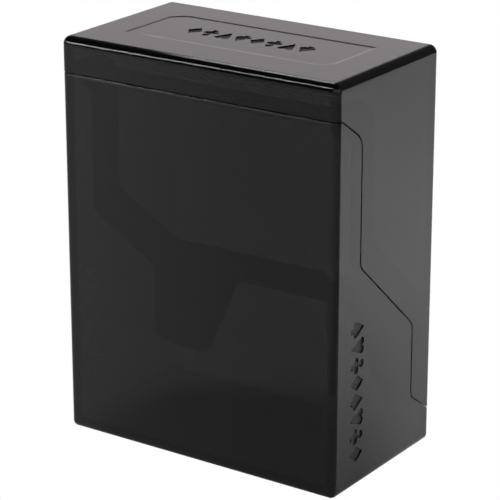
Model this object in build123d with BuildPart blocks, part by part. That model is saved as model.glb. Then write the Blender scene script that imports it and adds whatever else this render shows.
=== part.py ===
"""A two-piece hard-plastic box for one deck of sleeved cards.

The tall base holds the deck. The lid slides straight down over a collar on the base, until
the two meet flush along a stepped parting line. Base and lid have walls of one thickness. The
collar is an inner wall: its root is part of the base just below the line, and it stands up
past the line, inside the lid.

Frame: +Z up, origin at the centre of the underside, X across the width. The tall wall of the
base is on -Y and the low wall, with its tab, is on +Y. Everything is in millimetres.
"""
import os
from math import asin, atan2, cos, hypot, radians, sin, tan

from build123d import *

# Overall sizes
box_width = 76.0
box_depth = 43.0
box_height = 98.2
wall = 2.0
floor_thickness = 2.2
roof_thickness = 2.4

# Rounded edges
upright_radius = 1.5
roof_radius = 1.8
foot_radius = 1.5
cavity_radius = 1.0
cavity_end_radius = 0.8
seam_edge_radius = 0.15
collar_lead_in = 0.4

# Fit of lid and base
collar_thickness = 1.5
collar_root = 0.6
slide_clearance = 0.15
seam_gap = 0.22
lid_overhang = 0.02
lap_length = 8.0
upright_lap = 7.1

# Parting line on the side walls, from the tall wall to the low wall
skirt_height = 8.75
seam_shoulder = 1.8
seam_slope = 34.4
seam_front_setback = 10.15
seam_diagonal_top = 53.6
seam_diagonal_slope = 41.6
seam_back_setback = 9.2
low_wall_height = 8.2
low_wall_slope = 34.4
seam_upper_radius = 4.5
seam_bend_radius = 3.0
seam_lower_radius = 3.0
seam_soft_radius = 1.5

# Tab on the low wall
tab_height = 31.5
tab_top_width = 31.6
tab_slope = 24.1
tab_radius = 4.0
tab_lap = 6.4

# Collar above the tall wall
collar_rise = 2.6
collar_corner_radius = 6.0

# Panel sunk into the roof, with a sloped rim
panel_length = 56.3
panel_breadth = 20.5
panel_shift = 0.35
panel_sink = 0.12
panel_rim = 0.7
panel_cut = 3.2

# Rows of card pips, on the roof panel and on both sides of the base
pip_width = 3.9
pip_height = 5.5
pip_pitch = 4.4
pip_count = 8
pip_sink = 0.3
side_row_setback = 9.6
side_row_bottom = 6.3

# Sizes that follow
cavity_width = box_width - 2 * wall
cavity_depth = box_depth - 2 * wall
cavity_roof = box_height - roof_thickness
collar_width = cavity_width - 2 * slide_clearance
collar_depth = cavity_depth - 2 * slide_clearance
collar_radius = cavity_radius - slide_clearance
card_width = collar_width - 2 * collar_thickness
card_depth = collar_depth - 2 * collar_thickness
base_width = box_width - 2 * lid_overhang
base_depth = box_depth - 2 * lid_overhang
front = -box_depth / 2
back = box_depth / 2
seam_top = box_height - skirt_height
collar_top = seam_top + collar_rise
collar_back_top = tab_height + tab_lap
reach = 2 * max(box_width, box_depth, box_height)


def fall(run, slope):
    """Drop in height over a horizontal run at a slope in degrees."""
    return run * tan(radians(slope))


def region_below(points, radii):
    """Flat outline of all that lies under a line of points, with its corners rounded."""
    with BuildSketch() as region:
        with BuildLine():
            edge = FilletPolyline(*points, radius=radii)
            Polyline(edge @ 1, (points[-1][0], -reach), (points[0][0], -reach), edge @ 0)
        make_face()
    return region.sketch


def seam_region():
    """Side view of what belongs to the base: all below the parting line."""
    shoulder = front + seam_shoulder
    upright = front + seam_front_setback
    rear = back - seam_back_setback
    slope_foot = seam_top - fall(upright - shoulder, seam_slope)
    diagonal_foot = seam_diagonal_top - fall(rear - upright, seam_diagonal_slope)
    low_shoulder = back - lid_overhang - upright_radius / 2
    points = [
        (front - reach, seam_top),
        (shoulder, seam_top),
        (upright, slope_foot),
        (upright, seam_diagonal_top),
        (rear, diagonal_foot),
        (rear, low_wall_height + fall(low_shoulder - rear, low_wall_slope)),
        (low_shoulder, low_wall_height),
        (back + reach, low_wall_height),
    ]
    radii = [
        seam_soft_radius,
        seam_upper_radius,
        seam_bend_radius,
        seam_bend_radius,
        seam_lower_radius,
        seam_soft_radius,
    ]
    return region_below(points, radii)


def collar_region():
    """Side view of what the collar fills: the parting line moved out by the lap."""
    upright = front + seam_front_setback + upright_lap
    slope_rise = lap_length / cos(radians(seam_slope))
    slope_zero = seam_top + slope_rise + fall(seam_shoulder, seam_slope)
    slope_foot = slope_zero - fall(upright - front, seam_slope)
    shoulder = upright - (collar_top - slope_foot) / tan(radians(seam_slope))
    diagonal_rise = lap_length / cos(radians(seam_diagonal_slope))
    diagonal_top = seam_diagonal_top + diagonal_rise - fall(upright_lap, seam_diagonal_slope)
    diagonal_run = (diagonal_top - collar_back_top) / tan(radians(seam_diagonal_slope))
    points = [
        (front - reach, collar_top),
        (shoulder, collar_top),
        (upright, slope_foot),
        (upright, diagonal_top),
        (upright + diagonal_run, collar_back_top),
        (back + reach, collar_back_top),
    ]
    slope_length = hypot(upright - shoulder, collar_top - slope_foot)
    corner_room = 0.9 * slope_length - seam_soft_radius * tan(radians(seam_slope / 2))
    widest_corner = corner_room / tan(radians(45 - seam_slope / 2))
    corner_radius = min(collar_corner_radius, widest_corner)
    radii = [seam_soft_radius, corner_radius, seam_bend_radius, seam_soft_radius]
    return region_below(points, radii)


def tab_region():
    """Front view of the tab that stands up from the low wall, and the wall under it."""
    half_top = tab_top_width / 2
    half_foot = half_top + fall(tab_height - low_wall_height, tab_slope)
    points = [
        (-half_foot - reach, low_wall_height),
        (-half_foot, low_wall_height),
        (-half_top, tab_height),
        (half_top, tab_height),
        (half_foot, low_wall_height),
        (half_foot + reach, low_wall_height),
    ]
    return region_below(points, [tab_radius] * 4)


def heart(width, height):
    """Heart pip: two round lobes and the point that their outer tangents meet in."""
    lobe = width / 4
    lobe_y = height / 2 - lobe
    point_y = -height / 2
    distance = hypot(lobe, lobe_y - point_y)
    tangent = (distance**2 - lobe**2) ** 0.5
    angle = atan2(lobe_y - point_y, lobe) - asin(lobe / distance)
    edge_x = tangent * cos(angle)
    edge_y = point_y + tangent * sin(angle)
    with BuildSketch() as pip:
        with Locations((-lobe, lobe_y), (lobe, lobe_y)):
            Circle(lobe)
        Polygon((0, point_y), (edge_x, edge_y), (0, lobe_y), (-edge_x, edge_y), align=None)
    return pip.sketch


def stem(width, height):
    """Flared stem that a spade and a club stand on."""
    with BuildSketch() as pip:
        Polygon(
            (-width / 5, -height / 2),
            (width / 5, -height / 2),
            (width / 16, 0),
            (-width / 16, 0),
            align=None,
        )
    return pip.sketch


def spade(width, height):
    """Spade pip: a heart turned over, on a stem."""
    with BuildSketch() as pip:
        with Locations(Location((0, height / 12), 180)):
            add(heart(width, height * 5 / 6))
        add(stem(width, height))
    return pip.sketch


def club(width, height):
    """Club pip: three round leaves on a stem."""
    leaf = width / 4
    with BuildSketch() as pip:
        with Locations((-leaf, -leaf / 2), (leaf, -leaf / 2), (0, height / 2 - leaf)):
            Circle(leaf)
        Polygon((-leaf, -leaf / 2), (leaf, -leaf / 2), (0, height / 2 - leaf), align=None)
        add(stem(width, height))
    return pip.sketch


def diamond(width, height):
    """Diamond pip."""
    with BuildSketch() as pip:
        Polygon((0, -height / 2), (width / 2, 0), (0, height / 2), (-width / 2, 0), align=None)
    return pip.sketch


def pip_row():
    """Row of pips along X, the four suits in turn."""
    suits = [shape(pip_width, pip_height) for shape in (spade, heart, club, diamond)]
    with BuildSketch() as row:
        for index in range(pip_count):
            with Locations(((index - (pip_count - 1) / 2) * pip_pitch, 0)):
                add(suits[index % len(suits)])
    return row.sketch


def panel_outline(inset):
    """Outline of the roof panel, drawn in by an inset: two square corners and two cut ones."""
    half_x = panel_length / 2 - inset
    half_y = panel_breadth / 2 - inset
    cut = panel_cut - inset * (2 - 2**0.5)
    with BuildSketch() as outline:
        Polygon(
            (-half_x, -half_y),
            (half_x - cut, -half_y),
            (half_x, -half_y + cut),
            (half_x, half_y),
            (-half_x + cut, half_y),
            (-half_x, half_y - cut),
            align=None,
        )
    return outline.sketch


def rim_edges(builder, width, depth, radius):
    """Edges of the newest cut that lie on the outer faces of a block with rounded corners."""
    near = 0.001

    def on_rim(edge):
        """Whether an edge is cut across a side, an end or a corner, not the corner's own line."""
        from_side = width / 2 - abs(edge.center().X)
        from_end = depth / 2 - abs(edge.center().Y)
        at_corner = max(from_side, from_end) < radius + near
        upright = abs(edge.tangent_at(0.5).Z) > 1 - near
        return not (at_corner and upright) and (min(from_side, from_end) < near or at_corner)

    return builder.edges(Select.LAST).filter_by(on_rim)


# Outlines that the collar and both shells are cut by
seam_side = seam_region()
seam_back = tab_region()
collar_side = collar_region()
marks = pip_row()
side_view = Plane.YZ.offset(-reach)
back_view = Plane.XZ.offset(-reach)

with BuildPart() as base_space:
    with BuildSketch(side_view):
        add(seam_side)
    extrude(amount=2 * reach)
    with BuildSketch(back_view):
        add(seam_back)
    extrude(amount=reach)

with BuildPart() as base_space_with_gap:
    with BuildSketch(side_view):
        add(seam_side)
        offset(amount=seam_gap)
    extrude(amount=2 * reach)
    with BuildSketch(back_view):
        add(seam_back)
        offset(amount=seam_gap)
    extrude(amount=reach)

with BuildPart() as space_below_root:
    with BuildSketch(side_view):
        add(seam_side)
        offset(amount=-collar_root)
    extrude(amount=2 * reach)
    with BuildSketch(back_view):
        add(seam_back)
        offset(amount=-collar_root)
    extrude(amount=reach)

# Root of the collar: what joins it to the inside of the base's wall, up to the parting line
with BuildPart() as root:
    with BuildSketch():
        RectangleRounded(cavity_width, cavity_depth, cavity_radius)
    extrude(amount=box_height)
    add(base_space.part, mode=Mode.INTERSECT)

# Collar: an inner wall that clears the lid, from its root up to its own edge above the line
with BuildPart() as collar:
    with BuildSketch():
        RectangleRounded(collar_width, collar_depth, collar_radius)
    extrude(amount=box_height)
    with BuildSketch(side_view):
        add(collar_side)
    extrude(amount=2 * reach, mode=Mode.INTERSECT)
    chamfer(rim_edges(collar, collar_width, collar_depth, collar_radius), collar_lead_in)
    add(root.part)
    add(space_below_root.part, mode=Mode.SUBTRACT)
    with BuildSketch():
        RectangleRounded(card_width, card_depth, cavity_radius)
    extrude(amount=box_height, mode=Mode.SUBTRACT)

# Side marks: a row of pips down each side of the base, tops towards the low wall
side_row_length = (pip_count - 1) * pip_pitch + pip_width
side_row_plane = Plane(
    origin=(base_width / 2, front + side_row_setback, side_row_bottom + side_row_length / 2),
    x_dir=(0, 0, -1),
    z_dir=(1, 0, 0),
)
with BuildPart() as side_marks:
    with BuildSketch(side_row_plane):
        add(marks)
    extrude(amount=-pip_sink)
    mirror(about=Plane.YZ)

# Roof panel: what is taken out of the roof, down to the panel, inside the sloped rim
with BuildPart() as panel_space:
    for level, inset in ((box_height, 0), (box_height - panel_sink, panel_rim)):
        with BuildSketch(Plane((0, panel_shift, level))):
            add(panel_outline(inset))
    loft(ruled=True)

# Roof marks: one row of pips on the sunk panel, upright as seen from the low wall
roof_row_plane = Plane(
    origin=(0, panel_shift, box_height - panel_sink), x_dir=(-1, 0, 0), z_dir=(0, 0, 1)
)
with BuildPart() as roof_marks:
    with BuildSketch(roof_row_plane):
        add(marks)
    extrude(amount=-pip_sink)

# Base
with BuildPart() as base:
    with BuildSketch():
        RectangleRounded(base_width, base_depth, upright_radius)
    extrude(amount=box_height)
    fillet(base.edges().group_by(Axis.Z)[0], radius=foot_radius)
    add(base_space.part, mode=Mode.INTERSECT)
    fillet(rim_edges(base, base_width, base_depth, upright_radius), radius=seam_edge_radius)
    with BuildSketch(Plane.XY.offset(floor_thickness)):
        RectangleRounded(cavity_width, cavity_depth, cavity_radius)
    extrude(amount=box_height, mode=Mode.SUBTRACT)
    fillet(base.edges(Select.LAST).group_by(Axis.Z)[0], radius=cavity_end_radius)
    add(collar.part)
    add(side_marks.part, mode=Mode.SUBTRACT)

# Lid
with BuildPart() as lid:
    with BuildSketch():
        RectangleRounded(box_width, box_depth, upright_radius)
    extrude(amount=box_height)
    fillet(lid.edges().group_by(Axis.Z)[-1], radius=roof_radius)
    add(base_space_with_gap.part, mode=Mode.SUBTRACT)
    fillet(rim_edges(lid, box_width, box_depth, upright_radius), radius=seam_edge_radius)
    with BuildSketch():
        RectangleRounded(cavity_width, cavity_depth, cavity_radius)
    extrude(amount=cavity_roof, mode=Mode.SUBTRACT)
    fillet(lid.edges(Select.LAST).group_by(Axis.Z)[-1], radius=cavity_end_radius)
    add(panel_space.part, mode=Mode.SUBTRACT)
    add(roof_marks.part, mode=Mode.SUBTRACT)

os.makedirs("parts", exist_ok=True)
base.part.label = "base"
export_step(base.part, "parts/base.step")
lid.part.label = "lid"
export_step(lid.part, "parts/lid.step")
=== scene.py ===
"""Studio scene for a smoked plastic deck box.

The box is two mouldings, a base and a lift-off lid, and both keep the shapes of the frame. The
script gives each its finish, and sets up the table, the surroundings, the light and the camera.
"""
import logging
import math
from dataclasses import dataclass
from enum import Enum

import bmesh
import bpy
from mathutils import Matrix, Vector


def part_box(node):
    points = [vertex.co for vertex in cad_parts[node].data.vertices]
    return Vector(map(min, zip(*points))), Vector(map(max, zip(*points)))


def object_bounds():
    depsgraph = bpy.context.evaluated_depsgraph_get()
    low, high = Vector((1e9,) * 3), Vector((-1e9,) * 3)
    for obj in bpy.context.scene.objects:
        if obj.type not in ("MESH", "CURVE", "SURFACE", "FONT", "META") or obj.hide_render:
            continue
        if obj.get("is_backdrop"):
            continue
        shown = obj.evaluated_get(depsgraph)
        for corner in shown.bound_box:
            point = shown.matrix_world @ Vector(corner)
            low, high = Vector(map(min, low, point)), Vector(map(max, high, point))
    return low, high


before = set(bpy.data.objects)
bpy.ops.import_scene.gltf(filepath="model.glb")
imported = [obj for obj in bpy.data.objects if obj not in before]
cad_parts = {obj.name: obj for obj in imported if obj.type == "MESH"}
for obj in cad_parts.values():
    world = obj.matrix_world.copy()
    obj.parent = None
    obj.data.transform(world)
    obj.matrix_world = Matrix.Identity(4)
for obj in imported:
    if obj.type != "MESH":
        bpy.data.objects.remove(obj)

LOG = logging.getLogger("deck_box")
MM = 0.001
Colour = tuple[float, float, float]
Triple = tuple[float, float, float]
Span = tuple[float, float]
OFF_TO_ON: Span = (0.0, 1.0)
ON_TO_OFF: Span = (1.0, 0.0)
WHITE: Colour = (1.0, 1.0, 1.0)


class Ray(Enum):
    """The kinds of ray that a sheet or a lamp can be hidden from."""

    CAMERA = "visible_camera"
    DIFFUSE = "visible_diffuse"
    GLOSSY = "visible_glossy"
    TRANSMISSION = "visible_transmission"
    SHADOW = "visible_shadow"

    @classmethod
    def hide(cls, item: bpy.types.Object, *rays: "Ray") -> None:
        """Hide an object from some rays."""
        for ray in rays:
            setattr(item, ray.value, False)


class Ease(Enum):
    """How a ramp runs from one end to the other."""

    SOFT = "SMOOTHSTEP"
    EVEN = "LINEAR"


class Wiring:
    """Adds nodes to one node tree and joins their sockets."""

    def __init__(self, tree: bpy.types.NodeTree) -> None:
        """Keep the tree that the nodes go in."""
        self.tree = tree

    def feed(self, socket: bpy.types.NodeSocket, source: object) -> None:
        """Give a socket its source.

        Args:
            socket: The input to feed.
            source: An output socket to link, or a value to set.
        """
        if isinstance(source, bpy.types.NodeSocket):
            self.tree.links.new(source, socket)
        else:
            socket.default_value = source

    def add(self, kind: str, inputs: dict[int | str, object] | None = None,
            **settings: object) -> bpy.types.Node:
        """Add one node.

        Args:
            kind: The node's type name.
            inputs: What each named or numbered input is fed from.
            settings: The node's own properties.

        Returns:
            The new node.
        """
        node = self.tree.nodes.new(kind)
        for name, value in settings.items():
            setattr(node, name, value)
        for key, source in (inputs or {}).items():
            self.feed(node.inputs[key], source)
        return node

    def math(self, operation: str, *sources: object) -> bpy.types.NodeSocket:
        """What an operation on numbers gives."""
        node = self.add("ShaderNodeMath", dict(enumerate(sources)), operation=operation)
        return node.outputs[0]

    def vector(self, operation: str, *sources: object) -> bpy.types.NodeSocket:
        """Vector that an operation on vectors gives."""
        node = self.add("ShaderNodeVectorMath", dict(enumerate(sources)), operation=operation)
        return node.outputs["Vector"]

    def dot(self, first: object, second: object) -> bpy.types.NodeSocket:
        """Dot product of two vectors."""
        node = self.add("ShaderNodeVectorMath", {0: first, 1: second}, operation="DOT_PRODUCT")
        return node.outputs["Value"]

    def ramp(self, value: object, span: Span, to: Span, ease: Ease = Ease.SOFT) -> bpy.types.NodeSocket:
        """Add a Map Range node that holds its ends.

        Args:
            value: The value to map.
            span: Where the ramp starts and ends.
            to: What it gives there.
            ease: How it runs between them.

        Returns:
            The mapped value.
        """
        node = self.add(
            "ShaderNodeMapRange",
            {"Value": value, "From Min": span[0], "From Max": span[1], "To Min": to[0], "To Max": to[1]},
            interpolation_type=ease.value,
        )
        return node.outputs["Result"]

    def mix(self, share: object, first: object, second: object) -> bpy.types.NodeSocket:
        """Blend of two values, which are the node's third and fourth inputs."""
        node = self.add("ShaderNodeMix", {0: share, 2: first, 3: second}, data_type="FLOAT")
        return node.outputs[0]

    def noise(self, vector: object, scale: float, detail: float) -> bpy.types.NodeSocket:
        """Noise of a scale and detail, about 0.5."""
        node = self.add("ShaderNodeTexNoise", {"Vector": vector, "Scale": scale, "Detail": detail})
        return node.outputs["Fac"]

    def axes(self, vector: object) -> tuple[bpy.types.NodeSocket, ...]:
        """X, Y and Z of a vector."""
        return tuple(self.add("ShaderNodeSeparateXYZ", {0: vector}).outputs)

    def group(self, tree: bpy.types.NodeTree, inputs: dict[str, object]) -> bpy.types.Node:
        """Place a node group.

        Args:
            tree: The group.
            inputs: What each of its inputs is fed from.

        Returns:
            The node that holds it.
        """
        node = self.tree.nodes.new("ShaderNodeGroup")
        node.node_tree = tree
        for name, source in inputs.items():
            self.feed(node.inputs[name], source)
        return node


class Effects:
    """The node groups that more than one material or the surroundings use.

    A scale says how many grains of noise a metre holds, and a span where in the noise a mark fades in.
    """

    SMUDGE_SCALE: float = 55.0
    SMUDGE_SPAN: Span = (0.48, 0.72)
    HAIRLINE_TURN: Triple = (0.35, 0.5, 0.8)
    HAIRLINE_STRETCH: Triple = (1.0, 30.0, 30.0)
    HAIRLINE_SCALE: float = 90.0
    HAIRLINE_SPAN: Span = (0.70, 0.76)
    RIPPLE_SCALE: float = 120.0

    def __init__(self) -> None:
        """Build each group once."""
        self.box_mask = self._box_mask()
        self.moulded_skin = self._moulded_skin()

    @staticmethod
    def _start(name: str, inputs: dict[str, str], outputs: dict[str, str]
               ) -> tuple[Wiring, bpy.types.Node, bpy.types.Node]:
        """Start a group.

        Args:
            name: The group's name.
            inputs: Its inputs, name to socket type.
            outputs: Its outputs, name to socket type.

        Returns:
            The group's wiring, its input node and its output node.
        """
        tree = bpy.data.node_groups.new(name, "ShaderNodeTree")
        for label, kind in inputs.items():
            tree.interface.new_socket(label, in_out="INPUT", socket_type=kind)
        for label, kind in outputs.items():
            tree.interface.new_socket(label, in_out="OUTPUT", socket_type=kind)
        wires = Wiring(tree)
        return wires, wires.add("NodeGroupInput"), wires.add("NodeGroupOutput")

    def _box_mask(self) -> bpy.types.NodeTree:
        """Mask of an upright box: 1 inside it and 0 outside, with a soft rim.

        Returns:
            The group. Its mask falls from 1 to 0 over twice Rim, about the box's faces.
        """
        wires, given, result = self._start(
            "box_mask",
            {
                "Point": "NodeSocketVector",
                "Centre": "NodeSocketVector",
                "Half Size": "NodeSocketVector",
                "Rim": "NodeSocketFloat",
            },
            {"Mask": "NodeSocketFloat"},
        )
        across = wires.vector("SUBTRACT", given.outputs["Point"], given.outputs["Centre"])
        past = wires.vector("SUBTRACT", wires.vector("ABSOLUTE", across), given.outputs["Half Size"])
        x, y, z = wires.axes(past)
        outside = wires.math("MAXIMUM", wires.math("MAXIMUM", x, y), z)
        share = wires.math("DIVIDE", outside, given.outputs["Rim"])
        wires.feed(result.inputs["Mask"], wires.ramp(share, (-1.0, 1.0), ON_TO_OFF))
        return wires.tree

    def _moulded_skin(self) -> bpy.types.NodeTree:
        """Skin of a polished moulding: faint smudges from handling, hairlines and a slow ripple.

        Returns:
            The group. It puts out a roughness and a height in metres.
        """
        wires, given, result = self._start(
            "moulded_skin",
            {
                "Point": "NodeSocketVector",
                "Polish": "NodeSocketFloat",
                "Smudge": "NodeSocketFloat",
                "Ripple": "NodeSocketFloat",
            },
            {"Roughness": "NodeSocketFloat", "Height": "NodeSocketFloat"},
        )
        point = given.outputs["Point"]
        smudge = wires.noise(point, self.SMUDGE_SCALE, 4.0)
        soft = wires.ramp(smudge, self.SMUDGE_SPAN, OFF_TO_ON)
        stretched = wires.add(
            "ShaderNodeMapping",
            {"Vector": point, "Rotation": self.HAIRLINE_TURN, "Scale": self.HAIRLINE_STRETCH},
        )
        streak = wires.noise(stretched.outputs["Vector"], self.HAIRLINE_SCALE, 1.0)
        hair = wires.ramp(streak, self.HAIRLINE_SPAN, OFF_TO_ON)
        worn = wires.math("MULTIPLY", wires.math("ADD", soft, hair), given.outputs["Smudge"])
        wires.feed(result.inputs["Roughness"], wires.math("ADD", given.outputs["Polish"], worn))
        wave = wires.noise(point, self.RIPPLE_SCALE, 1.0)
        height = wires.math("MULTIPLY", wave, given.outputs["Ripple"])
        wires.feed(result.inputs["Height"], height)
        return wires.tree


@dataclass(frozen=True)
class Slab:
    """An upright box in the frame's own coordinates."""

    centre: Triple
    half_size: Triple
    rim: float

    def mask(self, wires: Wiring, effects: Effects, point: object) -> bpy.types.NodeSocket:
        """Mask of this box: 1 inside and 0 outside."""
        inputs = {"Point": point, "Centre": self.centre, "Half Size": self.half_size, "Rim": self.rim}
        return wires.group(effects.box_mask, inputs).outputs["Mask"]


@dataclass(frozen=True)
class SmokedPlastic:
    """Polished see-through plastic, tinted through its whole thickness.

    The floors of its etched marks are matt, and its bright lips have a second gloss over the first.
    """

    name: str
    etched: tuple[Slab, ...]
    bright: tuple[Slab, ...]
    ior: float = 1.5
    polish: float = 0.02
    smudge: float = 0.02
    ripple: float = 1.5e-6
    etched_roughness: float = 0.5
    smoke: Colour = (0.0, 0.0, 0.0)
    density: float = 1200.0

    @staticmethod
    def masks(slabs: tuple[Slab, ...], wires: Wiring, effects: Effects, point: object) -> object:
        """Mask of several slabs at once.

        Args:
            slabs: The slabs.
            wires: The tree that asks for it.
            effects: The shared groups.
            point: The point to test.

        Returns:
            1 inside any of them and 0 elsewhere.
        """
        whole: object = 0.0
        for slab in slabs:
            whole = wires.math("MAXIMUM", whole, slab.mask(wires, effects, point))
        return whole

    def material(self, effects: Effects) -> bpy.types.Material:
        """Build the material.

        Args:
            effects: The shared groups.

        Returns:
            The new material, with its absorption in the volume.
        """
        made = bpy.data.materials.new(self.name)
        made.use_nodes = True
        wires = Wiring(made.node_tree)
        shader = made.node_tree.nodes["Principled BSDF"]
        shader.inputs["Base Color"].default_value = WHITE + (1.0,)
        shader.inputs["IOR"].default_value = self.ior
        shader.inputs["Transmission Weight"].default_value = 1.0
        point = wires.add("ShaderNodeTexCoord").outputs["Object"]
        skin = wires.group(
            effects.moulded_skin,
            {"Point": point, "Polish": self.polish, "Smudge": self.smudge, "Ripple": self.ripple},
        )
        marks = self.masks(self.etched, wires, effects, point)
        wires.feed(shader.inputs["Coat Weight"], self.masks(self.bright, wires, effects, point))
        rough = wires.mix(marks, skin.outputs["Roughness"], self.etched_roughness)
        wires.feed(shader.inputs["Roughness"], rough)
        bump = wires.add("ShaderNodeBump", {"Height": skin.outputs["Height"], "Distance": 1.0})
        wires.feed(shader.inputs["Normal"], bump.outputs["Normal"])
        absorb = wires.add(
            "ShaderNodeVolumeAbsorption", {"Color": self.smoke + (1.0,), "Density": self.density}
        )
        wires.feed(made.node_tree.nodes["Material Output"].inputs["Volume"], absorb.outputs["Volume"])
        return made


@dataclass
class Shell:
    """One of the two mouldings of the box, which keeps its shape from the frame."""

    effects: Effects
    node: str
    cut: float = 0.30 * MM
    cut_floor: float = 0.10 * MM
    cut_half: float = 0.15 * MM
    row_half_length: float = 18.5 * MM
    row_half_width: float = 3.2 * MM
    row_rim: float = 0.03 * MM

    def rows(self) -> tuple[Slab, ...]:
        """Slabs that take in the floors of the shell's engraved rows."""
        return ()

    def lips(self) -> tuple[Slab, ...]:
        """Slabs that take in the shell's brighter, burnished lips."""
        return ()

    def dress(self) -> None:
        """Put the finish on the shell."""
        finish = SmokedPlastic(f"{self.node}_plastic", self.rows(), self.lips())
        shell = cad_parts[self.node]
        shell.data.materials.clear()
        shell.data.materials.append(finish.material(self.effects))
        LOG.info("%s wears %s, with %d engraved rows", self.node, finish.name, len(finish.etched))


@dataclass
class Base(Shell):
    """Card holder: a tall wall, stepped sides, a low wall with a tab, and the collar."""

    node: str = "base"
    row_y: float = -11.9 * MM
    row_z: float = 23.65 * MM
    lip_top: float = 89.36 * MM
    lip_half_height: float = 0.23 * MM
    lip_half_length: float = 36.5 * MM

    def rows(self) -> tuple[Slab, ...]:
        """Take in the floors of the upright row on each side.

        Returns:
            One slab for each side.
        """
        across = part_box(self.node)[1][0] - self.cut + self.cut_floor
        half = (self.cut_half, self.row_half_width, self.row_half_length)
        return tuple(Slab((side * across, self.row_y, self.row_z), half, self.row_rim) for side in (-1, 1))

    def lips(self) -> tuple[Slab, ...]:
        """Take in the lip of the tall wall, under the lid.

        Returns:
            One slab.
        """
        place = (0.0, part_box(self.node)[0][1], self.lip_top - self.lip_half_height)
        half = (self.lip_half_length, self.cut, self.lip_half_height)
        return (Slab(place, half, self.row_rim),)


@dataclass
class Lid(Shell):
    """Cover: a roof with a sunk panel, over a stepped skirt."""

    node: str = "lid"
    panel_sink: float = 0.12 * MM
    row_y: float = 0.35 * MM

    def rows(self) -> tuple[Slab, ...]:
        """Take in the floor of the row on the roof's panel.

        Returns:
            One slab.
        """
        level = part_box(self.node)[1][2] - self.panel_sink - self.cut + self.cut_floor
        half = (self.row_half_length, self.row_half_width, self.cut_half)
        return (Slab((0.0, self.row_y, level), half, self.row_rim),)


@dataclass(frozen=True)
class WindowOrPaintedReflection:
    """A bright patch of the surroundings: a window of light, or a painted reflection that only the gloss
    sees.

    It takes in the directions that, once turned, end in the box from low to high.
    """

    turn: Triple
    low: Triple
    high: Triple
    strength: float
    rim: float = 0.01

    def glow(self, wires: Wiring, effects: Effects, direction: object) -> bpy.types.NodeSocket:
        """Light from the window or painted reflection.

        Args:
            wires: The tree that asks for it.
            effects: The shared groups.
            direction: The direction looked in.

        Returns:
            Its strength in that direction.
        """
        turned = wires.add(
            "ShaderNodeMapping", {"Vector": direction, "Rotation": self.turn}, vector_type="TEXTURE"
        )
        centre = tuple((a + b) / 2 for a, b in zip(self.low, self.high))
        half = tuple((b - a) / 2 for a, b in zip(self.low, self.high))
        mask = Slab(centre, half, self.rim).mask(wires, effects, turned.outputs["Vector"])
        return wires.math("MULTIPLY", mask, self.strength)


@dataclass(frozen=True)
class PaintedTableLight:
    """How bright the table's painted reflection is, with the box's shadow painted into it.

    A slant is the direction across the table that a change in its light runs along. A span says
    where the change starts and ends, along its slant or away from the box, and a level what the
    light is there. A shade is the share of light that is lost.
    """

    box_low: Vector
    box_high: Vector
    front_slant: Triple = (1.0, -0.685, 0.0)
    front_span: Span = (-0.040, 0.030)
    front_level: Span = (0.585, 0.375)
    foot_slant: Triple = (0.57, 1.0, 0.0)
    foot_span: Span = (-0.083, -0.063)
    foot_across: Span = (-0.042, -0.024)
    foot_shade: float = 0.28
    near_span: Span = (0.0, 0.09)
    near_shade: float = 0.28
    corner_slant: Triple = (-1.46, 1.0, 0.0)
    corner_span: Span = (-0.065, -0.042)
    corner_shade: float = 0.36
    far_span: Span = (0.16, 0.28)
    far_level: Span = (1.08, 0.92)
    turn_span: Span = (0.50, 0.58)
    edge_span: Span = (0.36, 0.43)
    edge_level: float = 0.1

    def front(self, wires: Wiring, point: object, x: object) -> bpy.types.NodeSocket:
        """Light before the tall wall: it falls off to the right, and near the foot.

        Args:
            wires: The tree that asks for it.
            point: The point on the table.
            x: The point's own X.

        Returns:
            Its strength.
        """
        across = wires.dot(point, self.front_slant)
        level = wires.ramp(across, self.front_span, self.front_level, Ease.EVEN)
        slant = wires.dot(point, self.foot_slant)
        foot = wires.ramp(slant, self.foot_span, (0.0, self.foot_shade))
        foot = wires.math("MULTIPLY", foot, wires.ramp(x, self.foot_across, OFF_TO_ON))
        return wires.math("MULTIPLY", level, wires.math("SUBTRACT", 1.0, foot))

    def side(self, wires: Wiring, point: object, past: object) -> bpy.types.NodeSocket:
        """Light past the other walls: it falls off near the foot, to the front and far away.

        Args:
            wires: The tree that asks for it.
            point: The point on the table.
            past: How far the point is from the box.

        Returns:
            Its strength.
        """
        near = wires.ramp(past, self.near_span, ON_TO_OFF, Ease.EVEN)
        slant = wires.dot(point, self.corner_slant)
        corner = wires.ramp(slant, self.corner_span, (self.corner_shade, 0.0), Ease.EVEN)
        corner = wires.math("MULTIPLY", corner, wires.math("MULTIPLY", near, near))
        shade = wires.math("MULTIPLY_ADD", near, self.near_shade, corner)
        far = wires.ramp(past, self.far_span, self.far_level, Ease.EVEN)
        return wires.math("MULTIPLY", far, wires.math("SUBTRACT", 1.0, shade))

    def whole(self, wires: Wiring, point: object) -> bpy.types.NodeSocket:
        """Light of the whole table, out to its dark edge.

        The front's light gives way to the side's on a line out from the front right corner.

        Args:
            wires: The tree that asks for it.
            point: The point on the table.

        Returns:
            Its strength.
        """
        x, y, _ = wires.axes(point)
        past_x = wires.math("SUBTRACT", wires.math("ABSOLUTE", x), self.box_high.x)
        past_y = wires.math("SUBTRACT", wires.math("ABSOLUTE", y), self.box_high.y)
        past = wires.math("MAXIMUM", past_x, past_y)
        from_x = wires.math("SUBTRACT", x, self.box_high.x)
        from_y = wires.math("SUBTRACT", y, self.box_low.y)
        reach = wires.math("ADD", wires.math("ABSOLUTE", from_x), wires.math("ABSOLUTE", from_y))
        behind = wires.ramp(wires.math("DIVIDE", from_y, reach), self.turn_span, OFF_TO_ON)
        level = wires.mix(behind, self.front(wires, point, x), self.side(wires, point, past))
        return wires.math("MULTIPLY", level, wires.ramp(past, self.edge_span, (1.0, self.edge_level)))


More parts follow.
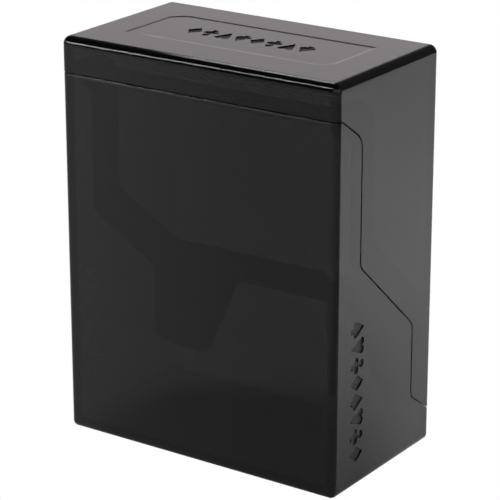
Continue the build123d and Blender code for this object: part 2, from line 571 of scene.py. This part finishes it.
@dataclass(frozen=True)
class Walls:
    """Pale walls, back left, that fade into a dark room above and to the right.

    Each span lies along one axis of the direction looked in.
    """

    colour: Colour = (1.0, 0.937, 0.957)
    level_span: Span = (-0.8, -0.3)
    level: Span = (0.71, 0.93)
    up_span: Span = (0.26, 0.62)
    across_span: Span = (-0.40, 0.05)
    back_span: Span = (0.0, 0.3)
    dark_span: Span = (-0.2, 0.6)
    dark_level: Span = (0.05, 0.12)

    def glow(self, wires: Wiring, direction: object) -> bpy.types.NodeSocket:
        """Light of the walls and of the dark room about them.

        Args:
            wires: The tree that asks for it.
            direction: The direction looked in.

        Returns:
            Its strength in that direction.
        """
        x, y, z = wires.axes(direction)
        wall = wires.ramp(x, self.level_span, self.level, Ease.EVEN)
        up = wires.ramp(z, self.up_span, ON_TO_OFF)
        across = wires.ramp(x, self.across_span, ON_TO_OFF)
        back = wires.ramp(y, self.back_span, OFF_TO_ON)
        share = wires.math("MULTIPLY", wires.math("MULTIPLY", up, across), back)
        dark = wires.ramp(y, self.dark_span, self.dark_level)
        return wires.mix(share, dark, wall)


@dataclass(frozen=True)
class Studio:
    """Pale table, soft light, surroundings and camera.

    Lengths are in metres, the camera's two angles in degrees, and its lens and film in millimetres.
    """

    effects: Effects
    table_half: float = 3.0
    table_white: float = 0.8
    table_glow: float = 0.35
    mirror_half: float = 0.48
    mirror_height: float = 0.5 * MM
    lamp_place: Triple = (0.1, 0.1, 1.0)
    lamp_side: float = 1.6
    lamp_watts: float = 16.0
    camera_place: Triple = (0.29692, -0.43263, 0.23281)
    camera_dip: float = 19.5068
    camera_turn: float = 34.4316
    camera_lens: float = 169.148
    camera_film: float = 36.0
    camera_clip: Span = (0.01, 20.0)

    @staticmethod
    def sheet(name: str, half: float, height: float) -> bpy.types.Object:
        """Make one level square sheet of the studio.

        Args:
            name: What it is called.
            half: Half the length of its sides.
            height: How high it lies.

        Returns:
            The sheet, marked as part of the stage and with a paint of its own.
        """
        mesh = bpy.data.meshes.new(name)
        shape = bmesh.new()
        bmesh.ops.create_grid(shape, x_segments=1, y_segments=1, size=half)
        bmesh.ops.translate(shape, verts=shape.verts, vec=(0.0, 0.0, height))
        shape.to_mesh(mesh)
        shape.free()
        made = bpy.data.objects.new(name, mesh)
        bpy.context.scene.collection.objects.link(made)
        paint = bpy.data.materials.new(name)
        paint.use_nodes = True
        made.data.materials.append(paint)
        made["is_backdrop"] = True
        return made

    def table(self) -> None:
        """Lay the pale table that the box stands on."""
        top = self.sheet("table", self.table_half, 0.0)
        # The gloss sees the painted table reflection in place of this table.
        Ray.hide(top, Ray.GLOSSY)
        tree = top.active_material.node_tree
        wires = Wiring(tree)
        shader = tree.nodes["Principled BSDF"]
        shader.inputs["Base Color"].default_value = (self.table_white,) * 3 + (1.0,)
        shader.inputs["Roughness"].default_value = 1.0
        shader.inputs["Specular IOR Level"].default_value = 0.0
        shader.inputs["Emission Color"].default_value = WHITE + (1.0,)
        shader.inputs["Emission Strength"].default_value = self.table_glow
        plain = wires.add("ShaderNodeEmission", {"Strength": 1.0})
        seen = wires.add("ShaderNodeLightPath").outputs["Is Camera Ray"]
        both = wires.add("ShaderNodeMixShader", {0: seen, 1: shader.outputs[0], 2: plain.outputs[0]})
        wires.feed(tree.nodes["Material Output"].inputs["Surface"], both.outputs[0])

    def painted_table_reflection(self, light: PaintedTableLight) -> None:
        """Lay a glowing sheet that only the gloss sees, as a painted reflection of the table: painted
        shadow darkens it close to the box and to the front.

        Args:
            light: How bright it is.
        """
        top = self.sheet("painted_table_reflection", self.mirror_half, self.mirror_height)
        # Painted reflection: the sheet is no lamp, and camera, diffuse, transmission and shadow rays pass
        # through it.
        Ray.hide(top, Ray.CAMERA, Ray.DIFFUSE, Ray.TRANSMISSION, Ray.SHADOW)
        tree = top.active_material.node_tree
        wires = Wiring(tree)
        tree.nodes.remove(tree.nodes["Principled BSDF"])
        point = wires.add("ShaderNodeTexCoord").outputs["Object"]
        # The glow paints the table's light and the box's shadow on it.
        glow = wires.add("ShaderNodeEmission", {"Strength": light.whole(wires, point)})
        wires.feed(tree.nodes["Material Output"].inputs["Surface"], glow.outputs[0])

    def surroundings(self, walls: Walls, windows: tuple[WindowOrPaintedReflection, ...], painted_reflections: tuple[WindowOrPaintedReflection, ...]) -> None:
        """Set up the walls, the windows, painted reflections for the gloss, and a plain white backdrop.

        Args:
            walls: The pale walls.
            windows: The bright openings.
            painted_reflections: Dim pale patches of painted reflection that only glossy rays see; they
                light nothing.
        """
        world = bpy.data.worlds.new("studio")
        bpy.context.scene.world = world
        world.use_nodes = True
        wires = Wiring(world.node_tree)
        direction = wires.add("ShaderNodeTexCoord").outputs["Generated"]
        path = wires.add("ShaderNodeLightPath")
        light: object = 0.0
        # Painted reflections: only glossy rays see these patches.
        for painted_patch in painted_reflections:
            light = wires.math("MAXIMUM", light, painted_patch.glow(wires, self.effects, direction))
        light = wires.math("MULTIPLY", light, path.outputs["Is Glossy Ray"])
        for window in windows:
            light = wires.math("ADD", light, window.glow(wires, self.effects, direction))
        room = world.node_tree.nodes["Background"]
        wires.feed(room.inputs["Color"], walls.colour + (1.0,))
        wires.feed(room.inputs["Strength"], walls.glow(wires, direction))
        lit = wires.add("ShaderNodeBackground", {"Color": WHITE + (1.0,), "Strength": light})
        whole = wires.add("ShaderNodeAddShader", {0: room.outputs[0], 1: lit.outputs[0]})
        backdrop = wires.add("ShaderNodeBackground", {"Color": WHITE + (1.0,), "Strength": 1.0})
        seen = path.outputs["Is Camera Ray"]
        both = wires.add("ShaderNodeMixShader", {0: seen, 1: whole.outputs[0], 2: backdrop.outputs[0]})
        wires.feed(world.node_tree.nodes["World Output"].inputs["Surface"], both.outputs[0])

    def lamp(self) -> None:
        """Hang one soft square lamp that faces the box and that the gloss doesn't mirror."""
        data = bpy.data.lights.new("top_lamp", "AREA")
        data.size = self.lamp_side
        data.energy = self.lamp_watts
        lamp = bpy.data.objects.new("top_lamp", data)
        lamp.location = self.lamp_place
        lamp.rotation_euler = (-Vector(self.lamp_place)).to_track_quat("-Z", "Y").to_euler()
        Ray.hide(lamp, Ray.CAMERA, Ray.GLOSSY, Ray.TRANSMISSION)
        bpy.context.scene.collection.objects.link(lamp)

    def camera(self) -> None:
        """Set the camera up, above and to the right of the tall wall."""
        data = bpy.data.cameras.new("camera")
        data.lens = self.camera_lens
        data.sensor_width = self.camera_film
        data.clip_start, data.clip_end = self.camera_clip
        camera = bpy.data.objects.new("camera", data)
        camera.location = self.camera_place
        camera.rotation_euler = (math.radians(90 - self.camera_dip), 0, math.radians(self.camera_turn))
        bpy.context.scene.collection.objects.link(camera)
        bpy.context.scene.camera = camera


LEVEL: Triple = (0.0, 0.0, 0.0)
LEANING: Triple = (0.0, math.radians(8.9), math.radians(-40.2))
TALL_STRIP = WindowOrPaintedReflection(turn=LEANING, low=(-0.026, -1.0, -0.02), high=(0.026, -0.5, 0.58), strength=8.0)
STRIP_EDGE = WindowOrPaintedReflection(turn=LEANING, low=(0.026, -1.0, -0.02), high=(0.058, -0.5, 0.58), strength=3.2)
UPPER_PANE = WindowOrPaintedReflection(turn=LEVEL, low=(-0.572, 0.2, 0.57), high=(-0.478, 0.85, 0.84), strength=3.0)
WINDOWS = (TALL_STRIP, STRIP_EDGE, UPPER_PANE)
# Painted reflections: dim pale patches that only glossy rays see and that light nothing.
BACK_PAINTED_REFLECTION = WindowOrPaintedReflection(turn=LEVEL, low=(-0.3, 0.93, -0.05), high=(0.45, 1.1, 0.36), strength=0.6, rim=0.05)
LEFT_PAINTED_REFLECTION = WindowOrPaintedReflection(turn=LEVEL, low=(-1.1, -0.45, -0.05), high=(-0.82, 0.35, 0.42), strength=0.7, rim=0.06)
FRONT_PAINTED_REFLECTION = WindowOrPaintedReflection(turn=LEVEL, low=(-0.15, -1.1, -0.05), high=(1.1, -0.25, 0.46), strength=0.7, rim=0.08)
RIGHT_PAINTED_REFLECTION = WindowOrPaintedReflection(turn=LEVEL, low=(0.78, -0.35, -0.05), high=(1.1, 0.45, 0.42), strength=0.6, rim=0.06)
PAINTED_REFLECTIONS = (BACK_PAINTED_REFLECTION, LEFT_PAINTED_REFLECTION, FRONT_PAINTED_REFLECTION, RIGHT_PAINTED_REFLECTION)


def main() -> None:
    """Dress the shells, set the studio up and report each piece."""
    logging.basicConfig(level=logging.INFO, format="%(name)s: %(message)s")
    low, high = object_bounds()
    bpy.context.scene.view_settings.view_transform = "Standard"
    effects = Effects()
    for shell in (Base(effects), Lid(effects)):
        shell.dress()
    studio = Studio(effects)
    studio.table()
    studio.painted_table_reflection(PaintedTableLight(low, high))
    studio.surroundings(Walls(), WINDOWS, PAINTED_REFLECTIONS)
    studio.lamp()
    studio.camera()
    LOG.info("studio has its table, %d windows, a lamp and a camera", len(WINDOWS))


if __name__ == "__main__":
    main()
